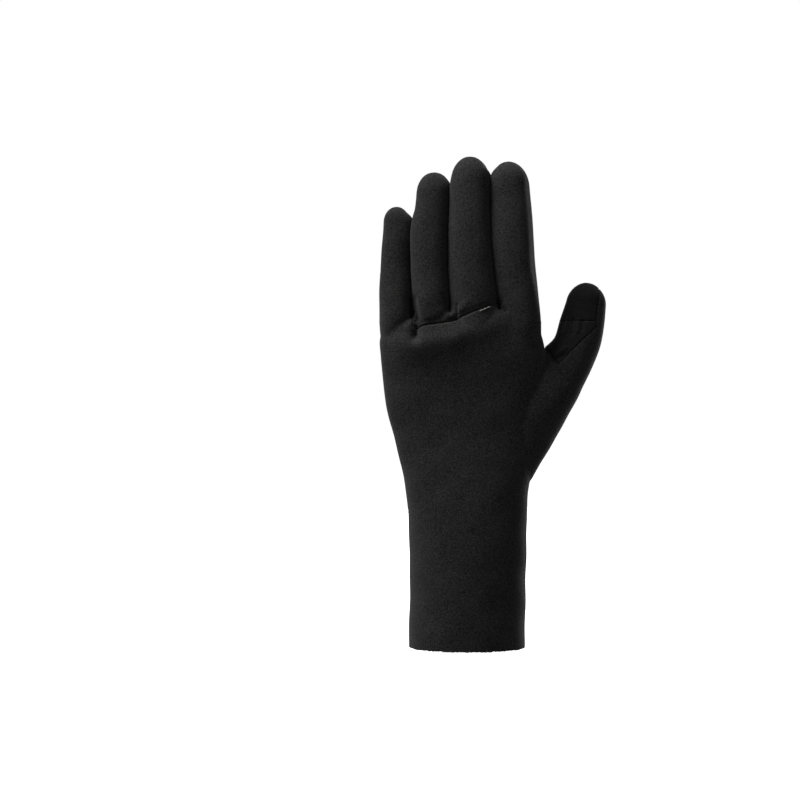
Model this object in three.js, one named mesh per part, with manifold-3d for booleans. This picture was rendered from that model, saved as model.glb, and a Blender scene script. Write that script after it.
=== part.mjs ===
// A left-hand neoprene diving glove, filled out as when it is worn, fingers up and thumb to +X.
// Millimetres, +Z from the cuff to the fingertips, back of the hand towards -Y, palm towards +Y.
// The origin is the middle of the cuff's opening.
import * as THREE from "three";
import { mergeVertices } from "three/addons/utils/BufferGeometryUtils.js";
import Module from "manifold-3d";

// Foam sheet and seams
const wall = 2.5;
const panelGap = 0.3;
const sideSeamInset = 3.2;

// Cuff and wrist
const cuffWidth = 68;
const cuffDepth = 57;
const wristHeight = 95;
const cuffPanelWidth = 49;
const wristSeamSag = 11;
const seamFootRise = 9;
const tongueDrop = 14;

// Fingers, each measured above the forks
const pinkyWidth = 17.6;
const pinkyLength = 62.6;
const ringWidth = 21.6;
const ringLength = 82.6;
const middleWidth = 24;
const middleLength = 92;
const indexWidth = 24;
const indexLength = 88.9;
const fingerGap = 0.6;
const fingerCurl = 12;

// Hand: its width follows the four fingers that stand on it
const forkHeight = 194;
const palmDepth = 34;
const knuckleSpread = 3.6;
const palmWidth = pinkyWidth + ringWidth + middleWidth + indexWidth + 3 * fingerGap + knuckleSpread;
const knuckleSeamRise = 14;
const knuckleSeamDrop = 8.4;
const knuckleRollHeight = 11;
const palmSeamDrop = 7;
const webRadius = 3.4;

// Thumb, measured up from the wrist and out from the edge of the palm
const thumbWidth = 26;
const thumbLength = 117;
const thumbSpread = 25.9;
const thumbLean = 16;
const thumbReach = palmWidth / 2 + thumbSpread;

// Facets of the sections and points along the curved seams
const trunkSides = 36;
const digitSides = 20;
const tipSteps = 4;
const tipBlunt = 0.15;
const seamSteps = 10;

// Cutting blocks reach past the glove on every side, and past the inner edge of the thumb
const blockReach = palmWidth;
const blockTop = 2 * forkHeight;
const thumbClear = 2;
const weldDistance = 1e-4;

// Rings of the cuff: shares of the wrist's height, the cuff's width and the cuff's depth
const cuffRows = [
  { up: -0.2, left: 0.498, right: 0.494, back: 0.5, palm: 0.5, square: 2.1, roof: 0 },
  { up: 0.0, left: 0.498, right: 0.494, back: 0.5, palm: 0.5, square: 2.1, roof: 0 },
  { up: 0.42, left: 0.487, right: 0.502, back: 0.485, palm: 0.485, square: 2.1, roof: 0 },
  { up: 0.74, left: 0.498, right: 0.512, back: 0.45, palm: 0.45, square: 2.15, roof: 0 },
  { up: 0.92, left: 0.52, right: 0.52, back: 0.415, palm: 0.41, square: 2.2, roof: 0 },
];

// Rings of the hand: shares of its height above the wrist, its width and its depth;
// roof is the share of the wall that lies above a ring, where the hand closes between the fingers
const handRows = [
  { up: 0.03, left: 0.397, right: 0.4, back: 0.65, palm: 0.62, square: 2.25, roof: 0 },
  { up: 0.15, left: 0.425, right: 0.414, back: 0.59, palm: 0.56, square: 2.35, roof: 0 },
  { up: 0.3, left: 0.467, right: 0.432, back: 0.53, palm: 0.5, square: 2.45, roof: 0 },
  { up: 0.455, left: 0.508, right: 0.457, back: 0.5, palm: 0.455, square: 2.5, roof: 0 },
  { up: 0.606, left: 0.529, right: 0.48, back: 0.48, palm: 0.44, square: 2.5, roof: 0 },
  { up: 0.758, left: 0.543, right: 0.491, back: 0.475, palm: 0.43, square: 2.5, roof: 0 },
  { up: 0.86, left: 0.54, right: 0.47, back: 0.455, palm: 0.41, square: 2.5, roof: 0.2 },
  { up: 0.93, left: 0.5, right: 0.443, back: 0.42, palm: 0.37, square: 2.5, roof: 0.6 },
  { up: 0.975, left: 0.38, right: 0.43, back: 0.37, palm: 0.33, square: 2.4, roof: 1 },
  { up: 1.01, left: 0.15, right: 0.367, back: 0.3, palm: 0.28, square: 2.4, roof: 1 },
];
const pinkyEdge = -0.545 * palmWidth;

// Little finger to index finger, in shares of its width: how much wider and deeper it is at its
// base, its sideways shifts at the base and at the tip, and how deep it stands towards the palm
const fingers = [
  { width: pinkyWidth, length: pinkyLength, flare: 0.1, deep: 0.3, splay: 0.02, lean: 0.02, sunk: 0.07 },
  { width: ringWidth, length: ringLength, flare: 0, deep: 0.12, splay: 0.04, lean: 0.19, sunk: 0 },
  { width: middleWidth, length: middleLength, flare: 0.12, deep: 0.06, splay: 0.1, lean: 0.05, sunk: -0.05 },
  { width: indexWidth, length: indexLength, flare: -0.06, deep: 0.04, splay: 0.22, lean: -0.1, sunk: 0 },
];

// Rings of a finger: share of its length above the fork, shares of its width, and share of its base
const fingerTip = 0.62;
const fingerRows = [
  { along: -0.34, wide: 0.84, deep: 0.82, base: 0.5 },
  { along: -0.05, wide: 1.0, deep: 1.08, base: 1 },
  { along: 0.12, wide: 1.0, deep: 1.02, base: 0.7 },
  { along: 0.45, wide: 1.0, deep: 0.95, base: 0 },
];
const shoulderRow = { wide: 0.91, deep: 0.88, base: 0 };
const fingerSquare = 2.3;

// Rings of the thumb: its place as shares of reach, length and lean, its size as shares of its
// width, and its two outer seams as shares of its half width
const thumbTip = 0.5;
const thumbSquare = 2.2;
const thumbRows = [
  { out: 0.25, up: 0.138, lean: 0.1, wide: 1.86, deep: 1.08, palmSeam: 0.74, nailSeam: 0.6 },
  { out: 0.49, up: 0.341, lean: 0.3, wide: 1.62, deep: 1.3, palmSeam: 0.66, nailSeam: 0.6 },
  { out: 0.715, up: 0.526, lean: 0.5, wide: 1.34, deep: 1.16, palmSeam: 0.62, nailSeam: 0.56 },
  { out: 0.88, up: 0.672, lean: 0.69, wide: 1.06, deep: 1.0, palmSeam: 0.35, nailSeam: 0.54 },
  { out: 0.945, up: 0.806, lean: 0.86, wide: 1.01, deep: 0.92, palmSeam: 0.1, nailSeam: 0.5 },
  { out: 0.975, up: 0.891, lean: 0.94, wide: 0.9, deep: 0.83, palmSeam: 0.0, nailSeam: 0.44 },
];
// The gusset lies below the cross seam, at the last row but one; its slanted seam runs up the back of
// the thumb between two points, in shares of the thumb's half width
const crossSeamRow = thumbRows.length - 2;
const gussetFoot = { inward: 0.8, down: 0.72 };
const gussetEnd = { down: 0.25 };

// The cuff panel's long seams: shares of their height above its foot and of the panel's width
const cuffSeamRows = [
  { up: 0, pinky: 0.535, thumb: 0.53 },
  { up: 0.28, pinky: 0.515, thumb: 0.48 },
  { up: 0.58, pinky: 0.54, thumb: 0.46 },
  { up: 0.87, pinky: 0.58, thumb: 0.52 },
  { up: 1.09, pinky: 0.7, thumb: 0.62 },
];
const cuffSeamHeight = wristHeight - seamFootRise;
const tongueSquare = 2.2;

// The back hem's way up to those seams: shares of the cuff's half depth and of the seam foot's rise
const hemRows = [
  { front: 0, rise: 0 },
  { front: 0.38, rise: 0.35 },
  { front: 0.62, rise: 1 },
];

// The seam across the knuckles: shares of its length and of its rise
const knuckleSeamRows = [
  { across: 0, rise: 0 },
  { across: 0.45, rise: 0.24 },
  { across: 0.71, rise: 0.62 },
  { across: 1, rise: 1 },
];

// The roll of foam just below that seam: shares of the seam's length, of the roll's height, and of
// the palm's depth for its middle and for how far it swells
const knuckleRollRows = [
  { across: -0.05, high: 0.8, middle: 0.235, swell: 0.106 },
  { across: 0.1, high: 1, middle: 0.33, swell: 0.118 },
  { across: 0.3, high: 1, middle: 0.33, swell: 0.168 },
  { across: 0.55, high: 1, middle: 0.33, swell: 0.168 },
  { across: 0.8, high: 1, middle: 0.33, swell: 0.15 },
  { across: 1.05, high: 0.8, middle: 0.235, swell: 0.106 },
];

const wasm = await Module();
wasm.setup();

function solidOf(geometry) {
  geometry.deleteAttribute("normal");
  geometry.deleteAttribute("uv");
  const merged = mergeVertices(geometry, weldDistance);
  const vertProperties = new Float32Array(merged.attributes.position.array);
  const triVerts = new Uint32Array(merged.index.array);
  return new wasm.Manifold(new wasm.Mesh({ numProp: 3, vertProperties, triVerts }));
}

function joined(solids) {
  return solids.reduce((whole, solid) => whole.add(solid));
}

// Skin over a stack of rings of as many points each, closed by a fan at each end
function loft(rings) {
  const sides = rings[0].length;
  const points = rings.flat();
  const index = [];
  for (let row = 0; row + 1 < rings.length; row += 1) {
    for (let side = 0; side < sides; side += 1) {
      const here = row * sides + side;
      const next = row * sides + ((side + 1) % sides);
      index.push(here, next, next + sides, here, next + sides, here + sides);
    }
  }
  const last = (rings.length - 1) * sides;
  const ends = [{ first: 0, ring: rings[0] }, { first: last, ring: rings.at(-1) }];
  for (const { first, ring } of ends) {
    const hub = points.length;
    const middle = new THREE.Vector3();
    ring.forEach((point) => middle.addScaledVector(point, 1 / sides));
    points.push(middle);
    for (let side = 0; side < sides; side += 1) {
      const here = first + side;
      const next = first + ((side + 1) % sides);
      index.push(...(first === 0 ? [hub, next, here] : [hub, here, next]));
    }
  }
  const geometry = new THREE.BufferGeometry().setFromPoints(points);
  geometry.setIndex(index);
  return solidOf(geometry);
}

function pointOn(section, sideways, inward) {
  const point = section.middle.clone();
  point.addScaledVector(section.across, sideways);
  return point.addScaledVector(section.through, inward);
}

// A section's own outline: a squared ellipse with a depth of its own on either side
function roundRing(section, sides) {
  const bend = (value) => Math.sign(value) * Math.abs(value) ** (2 / section.square);
  return Array.from({ length: sides }, (_, side) => {
    const angle = (side / sides) * 2 * Math.PI;
    const depth = Math.sin(angle) < 0 ? section.back : section.palm;
    return pointOn(section, bend(Math.cos(angle)) * section.half, bend(Math.sin(angle)) * depth);
  });
}

// The four corners of a cutting block at a section
function blockRing(section, left, right, near, far) {
  return [
    pointOn(section, left, near),
    pointOn(section, right, near),
    pointOn(section, right, far),
    pointOn(section, left, far),
  ];
}

function rectangle(left, bottom, right, top) {
  return [[left, bottom], [right, bottom], [right, top], [left, top]];
}

function extruded(outline, length, upright) {
  const shape = new THREE.Shape(outline.map(([u, v]) => new THREE.Vector2(u, v)));
  const geometry = new THREE.ExtrudeGeometry(shape, { depth: 2 * length, bevelEnabled: false });
  geometry.translate(0, 0, -length);
  return solidOf(geometry.applyMatrix4(upright));
}

// A prism through the glove's whole depth from an outline of [x, z]
function throughDepth(outline) {
  return extruded(outline, blockReach, new THREE.Matrix4().makeRotationX(Math.PI / 2));
}

// A prism across the glove's whole width from an outline of [y, z]
function throughWidth(outline) {
  const ahead = new THREE.Vector3(0, 1, 0);
  const up = new THREE.Vector3(0, 0, 1);
  const aside = new THREE.Vector3(1, 0, 0);
  return extruded(outline, 2 * blockReach, new THREE.Matrix4().makeBasis(ahead, up, aside));
}

function trunkSections(inset) {
  const section = (row, bottom, height, width, depth) => ({
    middle: new THREE.Vector3(
      ((row.right - row.left) / 2) * width,
      0,
      bottom + row.up * height - row.roof * inset,
    ),
    across: new THREE.Vector3(1, 0, 0),
    through: new THREE.Vector3(0, 1, 0),
    half: ((row.left + row.right) / 2) * width - inset,
    back: row.back * depth - inset,
    palm: row.palm * depth - inset,
    square: row.square,
  });
  const handHeight = forkHeight - wristHeight;
  return [
    ...cuffRows.map((row) => section(row, 0, wristHeight, cuffWidth, cuffDepth)),
    ...handRows.map((row) => section(row, wristHeight, handHeight, palmWidth, palmDepth)),
  ];
}

// Sections square to a digit's path, with a round tip on its last place
function digitSections(places, end, tipLength, inset) {
  const path = new THREE.CatmullRomCurve3([...places.map((place) => place.middle), end]);
  const sections = places.map((place, row) => {
    const tangent = path.getTangent(row / places.length);
    const through = tangent.clone().cross(new THREE.Vector3(1, 0, 0)).normalize();
    const across = through.clone().cross(tangent).normalize();
    const half = place.half - inset;
    const depth = place.depth - inset;
    return { ...place, across, through, half, back: depth, palm: depth };
  });
  const shoulder = sections.at(-1);
  const forward = end.clone().sub(shoulder.middle).normalize();
  for (let step = 1; step <= tipSteps; step += 1) {
    const angle = ((step - tipBlunt) / tipSteps) * (Math.PI / 2);
    const shrink = Math.cos(angle);
    const ahead = (tipLength - inset) * Math.sin(angle);
    sections.push({
      ...shoulder,
      middle: shoulder.middle.clone().addScaledVector(forward, ahead),
      half: shoulder.half * shrink,
      back: shoulder.back * shrink,
      palm: shoulder.palm * shrink,
    });
  }
  return sections;
}

function fingerSections(finger, centre, inset) {
  const tipLength = finger.width * fingerTip;
  const placeAt = (along) => {
    const outside = Math.max(along, 0);
    const base = Math.max(1 - 2 * outside, 0);
    const tip = Math.max(2 * outside - 1, 0);
    const shift = finger.splay * base ** 2 + finger.lean * tip ** 2;
    const curl = fingerCurl * (finger.length / middleLength) * outside ** 2;
    return new THREE.Vector3(
      centre + shift * finger.width,
      finger.sunk * finger.width + curl,
      forkHeight + along * finger.length,
    );
  };
  const rows = [...fingerRows, { ...shoulderRow, along: 1 - tipLength / finger.length }];
  const places = rows.map((row) => ({
    middle: placeAt(row.along),
    half: (finger.width * (row.wide + row.base * finger.flare)) / 2,
    depth: (finger.width * (row.deep + row.base * finger.deep)) / 2,
    square: fingerSquare,
  }));
  return digitSections(places, placeAt(1), tipLength, inset);
}

function thumbSections(inset) {
  const placeAt = (out, up, lean) =>
    new THREE.Vector3(thumbReach * out, thumbLean * lean, wristHeight + thumbLength * up);
  const places = thumbRows.map((row) => ({
    middle: placeAt(row.out, row.up, row.lean),
    half: (thumbWidth * row.wide) / 2,
    depth: (thumbWidth * row.deep) / 2,
    square: thumbSquare,
    palmSeam: row.palmSeam,
    nailSeam: row.nailSeam,
  }));
  return digitSections(places, placeAt(1, 1, 1), thumbWidth * thumbTip, inset);
}

// Where each finger's middle stands, side by side from the little finger's outer edge
const fingerCentres = fingers.map((finger, place) => {
  const before = fingers.slice(0, place).reduce((sum, other) => sum + other.width + fingerGap, 0);
  return pinkyEdge + before + finger.width / 2;
});

function allFingers(inset) {
  return fingers.map((finger, place) => fingerSections(finger, fingerCentres[place], inset));
}

// The seam across the knuckles runs from the ring finger's outer edge, or a little aside of it, to
// the middle finger's, and on in line where a place lies past its ends
function knuckleSeamPoint(across, aside) {
  const [, ring, middle] = allFingers(0).map((sections) => sections[1]);
  const left = ring.middle.x - ring.half - aside;
  const right = middle.middle.x + middle.half + aside;
  const last = Math.max(knuckleSeamRows.findIndex((row) => row.across >= Math.min(across, 1)), 1);
  const from = knuckleSeamRows[last - 1];
  const to = knuckleSeamRows[last];
  const share = (across - from.across) / (to.across - from.across);
  const rise = from.rise + share * (to.rise - from.rise);
  return {
    x: left + across * (right - left),
    z: forkHeight - knuckleSeamDrop + rise * knuckleSeamRise,
  };
}

function knuckleRollSections(inset) {
  return knuckleRollRows.map((row) => {
    const { x, z } = knuckleSeamPoint(row.across, 0);
    const high = (row.high * knuckleRollHeight) / 2 - inset;
    return {
      middle: new THREE.Vector3(x, -row.middle * palmDepth, z - knuckleRollHeight / 2),
      across: new THREE.Vector3(0, 1, 0),
      through: new THREE.Vector3(0, 0, 1),
      half: row.swell * palmDepth - inset,
      back: high,
      palm: high,
      square: 2,
    };
  });
}

// The whole glove's volume, taken in by the inset all round
function gloveVolume(inset) {
  const limbs = [...allFingers(inset), thumbSections(inset), knuckleRollSections(inset)];
  return joined([
    loft(trunkSections(inset).map((section) => roundRing(section, trunkSides))),
    ...limbs.map((sections) => loft(sections.map((section) => roundRing(section, digitSides)))),
  ]);
}

// Height of the seam that joins the palm to the cuff panel, sagging between its two ends
function wristSeam() {
  const top = cuffSeamRows.at(-1);
  const left = -top.pinky * cuffPanelWidth;
  const right = top.thumb * cuffPanelWidth;
  const ends = seamFootRise + top.up * cuffSeamHeight;
  return Array.from({ length: seamSteps + 1 }, (_, step) => {
    const share = step / seamSteps;
    const sag = wristSeamSag * Math.sin(Math.PI * share);
    return [left + share * (right - left), ends - sag];
  });
}

// The cuff panel's outline: a tongue at its foot, or where it is grown to cut others, an open end
function cuffOutline(grow) {
  const side = (key, sign) =>
    cuffSeamRows.map((row) => [
      sign * (row[key] * cuffPanelWidth + grow),
      seamFootRise + row.up * cuffSeamHeight,
    ]);
  const left = side("pinky", -1);
  const right = side("thumb", 1);
  const middle = (left[0][0] + right[0][0]) / 2;
  const half = (right[0][0] - left[0][0]) / 2;
  const tongue = Array.from({ length: seamSteps + 1 }, (_, step) => {
    const share = (2 * step) / seamSteps - 1;
    const drop = tongueDrop * (1 - Math.abs(share) ** tongueSquare);
    return [middle + share * half, seamFootRise - drop];
  });
  const below = [[left[0][0], -blockReach], [right[0][0], -blockReach]];
  const foot = grow > 0 ? below : tongue.slice(1, -1);
  const seam = wristSeam().map(([x, z]) => [x, z - panelGap + grow]).reverse();
  return [...foot, ...right, ...seam.slice(1, -1), ...left.reverse()];
}

function cuffRegion(grow) {
  const palmSide = rectangle(-grow, -blockReach, blockReach, forkHeight);
  return throughDepth(cuffOutline(grow)).intersect(throughWidth(palmSide));
}

// The palm panel's top edge dips in a round notch at each fork, where the web between two fingers is
function belowForks(grow) {
  const reach = 2 * blockReach;
  const radius = webRadius - grow;
  const level = forkHeight - palmSeamDrop + webRadius;
  const top = level + grow;
  const notches = fingers.slice(0, -1).map((finger, place) => {
    const fork = fingerCentres[place] + (finger.width + fingerGap) / 2;
    const round = Array.from({ length: seamSteps + 1 }, (_, step) => {
      const angle = (Math.PI * step) / seamSteps;
      return [fork - radius * Math.cos(angle), level - radius * Math.sin(angle)];
    });
    return [[fork - radius, top], ...round, [fork + radius, top]];
  });
  return [
    [-reach, 0],
    [reach, 0],
    [reach, top],
    ...notches.flat().reverse(),
    [-reach, top],
  ];
}

// Everything that the palm panel covers: the palm, a strip up each finger, and the thumb's inner side
function palmRegion(grow) {
  const inset = sideSeamInset - grow;
  const strip = (section, left, right) => blockRing(section, left, right, -grow, blockReach);
  const palmRows = trunkSections(inset).slice(cuffRows.length - 1);
  const palm = loft(palmRows.map((section) => strip(section, -section.half, section.half)));
  const strips = allFingers(inset).map((sections) =>
    loft(sections.map((section) => strip(section, -section.half, section.half))),
  );
  const seam = wristSeam().map(([x, z]) => [x, z - grow]);
  const reach = 2 * blockReach;
  const aboveWrist = [
    [-reach, seam[0][1]],
    ...seam,
    [reach, seam.at(-1)[1]],
    [reach, blockTop],
    [-reach, blockTop],
  ];
  const thumb = thumbSections(0);
  const tip = thumb.at(-1);
  const beyond = { ...tip, middle: tip.middle.clone().setZ(tip.middle.z + wall) };
  const inner = [...thumb, beyond].map((section, row) => {
    const wide = thumb[Math.min(row, thumbRows.length - 1)].half;
    return strip(section, -wide - thumbClear - grow, section.palmSeam * wide + grow);
  });
  const cap = [...thumb, beyond].slice(crossSeamRow - 1).map((section) => {
    const wide = thumb[crossSeamRow].half;
    const right = section.nailSeam * wide + grow;
    return blockRing(section, -wide - thumbClear - grow, right, -blockReach, wall);
  });
  const crossing = thumb[crossSeamRow].middle.z - grow;
  return joined([
    palm.intersect(throughDepth(belowForks(grow))),
    ...strips,
    loft(inner),
    loft(cap).intersect(throughDepth(rectangle(0, crossing, reach, blockTop))),
  ]).intersect(throughDepth(aboveWrist));
}

// Below the cross seam, between the crotch and the slanted seam up the back of the thumb
function gussetRegion(grow) {
  const thumb = thumbSections(0);
  const crossing = thumb[crossSeamRow];
  const root = thumb[crossSeamRow - 1];
  const edge = crossing.middle.x + crossing.nailSeam * crossing.half;
  const outline = [
    [palmWidth / 2 - grow, crossing.middle.z - panelGap + grow],
    [palmWidth / 2 - grow, root.middle.z - grow],
    [
      root.middle.x - gussetFoot.inward * root.half,
      root.middle.z - gussetFoot.down * root.half - grow,
    ],
    [edge + grow, crossing.middle.z - gussetEnd.down * crossing.half - grow],
    [edge + grow, crossing.middle.z - panelGap + grow],
  ];
  const front = crossing.middle.y;
  const backSide = rectangle(-blockReach, 0, front, forkHeight);
  return throughDepth(outline).intersect(throughWidth(backSide));
}

// The ring and middle fingers: behind, down to the seam across their knuckles, and in front to the palm
function twoFingerRegion(grow) {
  const [, ring, middle] = allFingers(0);
  const aside = (fingerGap - panelGap) / 2 + grow;
  const edge = (sections, sign) =>
    sections.slice(1, fingerRows.length + 1).map((section) => [
      section.middle.x + sign * (section.half + aside),
      section.middle.z,
    ]);
  const left = edge(ring, -1);
  const right = edge(middle, 1);
  const seam = knuckleSeamRows.map((row) => {
    const { x, z } = knuckleSeamPoint(row.across, aside);
    return [x, z - grow];
  });
  const front = forkHeight - palmSeamDrop - 2 * panelGap;
  const outlineFrom = (bottom) => [
    ...bottom,
    ...right.filter(([, z]) => z > bottom.at(-1)[1] + wall),
    [right.at(-1)[0], blockTop],
    [left.at(-1)[0], blockTop],
    ...left.filter(([, z]) => z > bottom[0][1] + wall).reverse(),
  ];
  const level = [[left[0][0], front - grow], [right[0][0], front - grow]];
  const palmSide = rectangle(-grow, 0, blockReach, blockTop);
  return throughDepth(outlineFrom(seam)).add(
    throughDepth(outlineFrom(level)).intersect(throughWidth(palmSide)),
  );
}

// The back panel's hem is level behind and rises to the cuff panel's seams in front
function backHemRegion() {
  return throughWidth([
    [-blockReach, 0],
    ...hemRows.map((row) => [(row.front * cuffDepth) / 2, row.rise * seamFootRise]),
    [blockReach, seamFootRise],
    [blockReach, blockTop],
    [-blockReach, blockTop],
  ]);
}

const shell = gloveVolume(0).subtract(gloveVolume(wall));
const palmCut = palmRegion(panelGap);
const cuffCut = cuffRegion(panelGap);
const gussetCut = gussetRegion(panelGap);
const twoFingerCut = twoFingerRegion(panelGap);

const backColour = "#212224";
const palmColour = "#17181a";
const panels = [
  {
    name: "back_panel",
    colour: backColour,
    solid: shell
      .intersect(backHemRegion())
      .subtract(palmCut)
      .subtract(cuffCut)
      .subtract(gussetCut)
      .subtract(twoFingerCut),
  },
  {
    name: "middle_ring_panel",
    colour: backColour,
    solid: shell.intersect(twoFingerRegion(0)).subtract(palmCut),
  },
  { name: "palm_panel", colour: palmColour, solid: shell.intersect(palmRegion(0)) },
  {
    name: "thumb_gusset",
    colour: palmColour,
    solid: shell.intersect(gussetRegion(0)).subtract(palmCut),
  },
  { name: "cuff_panel", colour: palmColour, solid: shell.intersect(cuffRegion(0)) },
];

function panelMesh({ name, colour, solid }) {
  const { vertProperties, triVerts } = solid.getMesh();
  const geometry = new THREE.BufferGeometry();
  geometry.setAttribute("position", new THREE.BufferAttribute(vertProperties, 3));
  geometry.setIndex(new THREE.BufferAttribute(triVerts, 1));
  geometry.computeVertexNormals();
  const material = new THREE.MeshStandardMaterial({ color: colour, roughness: 0.9, metalness: 0 });
  const mesh = new THREE.Mesh(geometry, material);
  mesh.name = name;
  return mesh;
}

const glove = new THREE.Group();
panels.forEach((panel) => glove.add(panelMesh(panel)));

export default glove;
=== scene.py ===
import math

import bmesh
import bpy
import numpy as np
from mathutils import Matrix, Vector
from mathutils.bvhtree import BVHTree
from mathutils.kdtree import KDTree


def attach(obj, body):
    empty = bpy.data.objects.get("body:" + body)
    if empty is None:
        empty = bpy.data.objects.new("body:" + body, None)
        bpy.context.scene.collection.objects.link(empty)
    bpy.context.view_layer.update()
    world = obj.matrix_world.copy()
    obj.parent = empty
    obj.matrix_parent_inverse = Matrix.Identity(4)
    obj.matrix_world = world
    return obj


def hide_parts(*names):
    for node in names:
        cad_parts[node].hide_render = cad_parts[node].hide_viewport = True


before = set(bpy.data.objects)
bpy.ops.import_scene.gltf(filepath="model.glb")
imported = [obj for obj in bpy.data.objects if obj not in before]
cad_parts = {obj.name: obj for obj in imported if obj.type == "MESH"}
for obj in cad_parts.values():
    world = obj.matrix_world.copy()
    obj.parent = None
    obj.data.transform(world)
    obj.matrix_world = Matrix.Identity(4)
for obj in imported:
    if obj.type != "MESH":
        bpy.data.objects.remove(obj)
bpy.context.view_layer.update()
MM = 0.001


# The skin of the whole glove, as the hand inside fills it: a cuff, a palm, four fingers and a thumb.
# The real panels are cut flat from foam sheet and pulled to this form. It is only the surface that
# the panels below are taken from, so it is never shown itself.
cuff_width, cuff_depth, wrist_height = 68 * MM, 57 * MM, 95 * MM
fork_height, palm_depth = 194 * MM, 34 * MM
finger_gap, finger_curl = 0.6 * MM, 12 * MM
pinky_width, ring_width, middle_width, index_width = 17.6 * MM, 21.6 * MM, 24 * MM, 24 * MM
palm_width = pinky_width + ring_width + middle_width + index_width + 3 * finger_gap + 3.6 * MM
middle_length = 92 * MM
thumb_width, thumb_length, thumb_spread, thumb_lean = 26 * MM, 117 * MM, 25.9 * MM, 16 * MM

cuff_rows = [
    dict(up=-0.2, left=0.498, right=0.494, back=0.5, palm=0.5, square=2.1),
    dict(up=0.0, left=0.498, right=0.494, back=0.5, palm=0.5, square=2.1),
    dict(up=0.42, left=0.487, right=0.502, back=0.485, palm=0.485, square=2.1),
    dict(up=0.74, left=0.498, right=0.512, back=0.45, palm=0.45, square=2.15),
    dict(up=0.92, left=0.52, right=0.52, back=0.415, palm=0.41, square=2.2),
]
hand_rows = [
    dict(up=0.03, left=0.397, right=0.4, back=0.65, palm=0.62, square=2.25),
    dict(up=0.15, left=0.425, right=0.414, back=0.59, palm=0.56, square=2.35),
    dict(up=0.3, left=0.467, right=0.432, back=0.53, palm=0.5, square=2.45),
    dict(up=0.455, left=0.508, right=0.457, back=0.5, palm=0.455, square=2.5),
    dict(up=0.606, left=0.529, right=0.48, back=0.48, palm=0.44, square=2.5),
    dict(up=0.758, left=0.543, right=0.491, back=0.475, palm=0.43, square=2.5),
    dict(up=0.86, left=0.54, right=0.47, back=0.455, palm=0.41, square=2.5),
    dict(up=0.93, left=0.5, right=0.443, back=0.42, palm=0.37, square=2.5),
    dict(up=0.975, left=0.38, right=0.43, back=0.37, palm=0.33, square=2.4),
    dict(up=1.01, left=0.15, right=0.367, back=0.3, palm=0.28, square=2.4),
]
# Little finger to index finger; fan is how far it is turned out while the skin is made in one, and
# press how far it and the next finger squeeze each other, with give its own share of that bulge
fingers = [
    dict(width=pinky_width, length=62.6 * MM, flare=0.1, deep=0.3, splay=0.02, lean=0.02, sunk=0.07,
         fan=-7 * MM, press=1.2 * MM, give=0.75),
    dict(width=ring_width, length=82.6 * MM, flare=0, deep=0.12, splay=0.04, lean=0.19, sunk=0,
         fan=-2.5 * MM, press=0.4 * MM, give=0.5),
    dict(width=middle_width, length=middle_length, flare=0.12, deep=0.06, splay=0.1, lean=0.05, sunk=-0.05,
         fan=2.5 * MM, press=1.3 * MM, give=0.5),
    dict(width=index_width, length=88.9 * MM, flare=-0.06, deep=0.04, splay=0.22, lean=-0.1, sunk=0,
         fan=7 * MM),
]
finger_tip = 0.62
finger_rows = [
    dict(along=-0.34, wide=0.84, deep=0.82, base=0.5),
    dict(along=-0.05, wide=1.0, deep=1.08, base=1),
    dict(along=0.12, wide=1.0, deep=1.02, base=0.7),
    dict(along=0.45, wide=1.0, deep=0.95, base=0),
    dict(along=None, wide=0.91, deep=0.88, base=0),
]
thumb_tip = 0.5
thumb_rows = [
    dict(out=0.25, up=0.138, lean=0.1, wide=1.86, deep=1.08),
    dict(out=0.49, up=0.341, lean=0.3, wide=1.62, deep=1.3),
    dict(out=0.715, up=0.526, lean=0.5, wide=1.34, deep=1.16),
    dict(out=0.88, up=0.672, lean=0.69, wide=1.06, deep=1.0),
    dict(out=0.945, up=0.806, lean=0.86, wide=1.01, deep=0.92),
    dict(out=0.975, up=0.891, lean=0.94, wide=0.9, deep=0.83),
]
skin_step, skin_sides, skin_cell = 2 * MM, 64, 0.9 * MM
finger_square, thumb_square, tip_rings = 2.3, 2.2, 12
step_in, step_out, first_rounds = 0.5, -0.53, 10
fan_foot, fan_run = fork_height - 6 * MM, 30 * MM


def flow(places, rows, at):
    """Rows of sizes carried smoothly from place to place through every row."""
    places, rows = np.array(places), np.array(rows)
    slopes = np.gradient(rows, places, axis=0)
    first = np.clip(np.searchsorted(places, at) - 1, 0, len(places) - 2)
    run = (places[first + 1] - places[first])[:, None]
    t = (np.array(at)[:, None] - places[first][:, None]) / run
    ends = (1 + 2 * t) * (1 - t) ** 2 * rows[first] + t * t * (3 - 2 * t) * rows[first + 1]
    return ends + run * (t * (1 - t) ** 2 * slopes[first] - t * t * (1 - t) * slopes[first + 1])


def lengths_along(path):
    """How far along a path each of its points lies."""
    return np.concatenate([[0], np.cumsum(np.linalg.norm(np.diff(path, axis=0), axis=1))])


def rings(middle, across, through, half, back, palm, square):
    """A squared ellipse round each section, deeper or flatter on its palm side."""
    angle = np.linspace(0, 2 * math.pi, skin_sides, endpoint=False)[None, :]
    bend = 2 / square[:, None]
    wide = np.sign(np.cos(angle)) * np.abs(np.cos(angle)) ** bend * half[:, None]
    deep = np.where(np.sin(angle) < 0, back[:, None], palm[:, None])
    deep = np.sign(np.sin(angle)) * np.abs(np.sin(angle)) ** bend * deep
    return middle[:, None] + wide[..., None] * across[:, None] + deep[..., None] * through[:, None]


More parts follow.
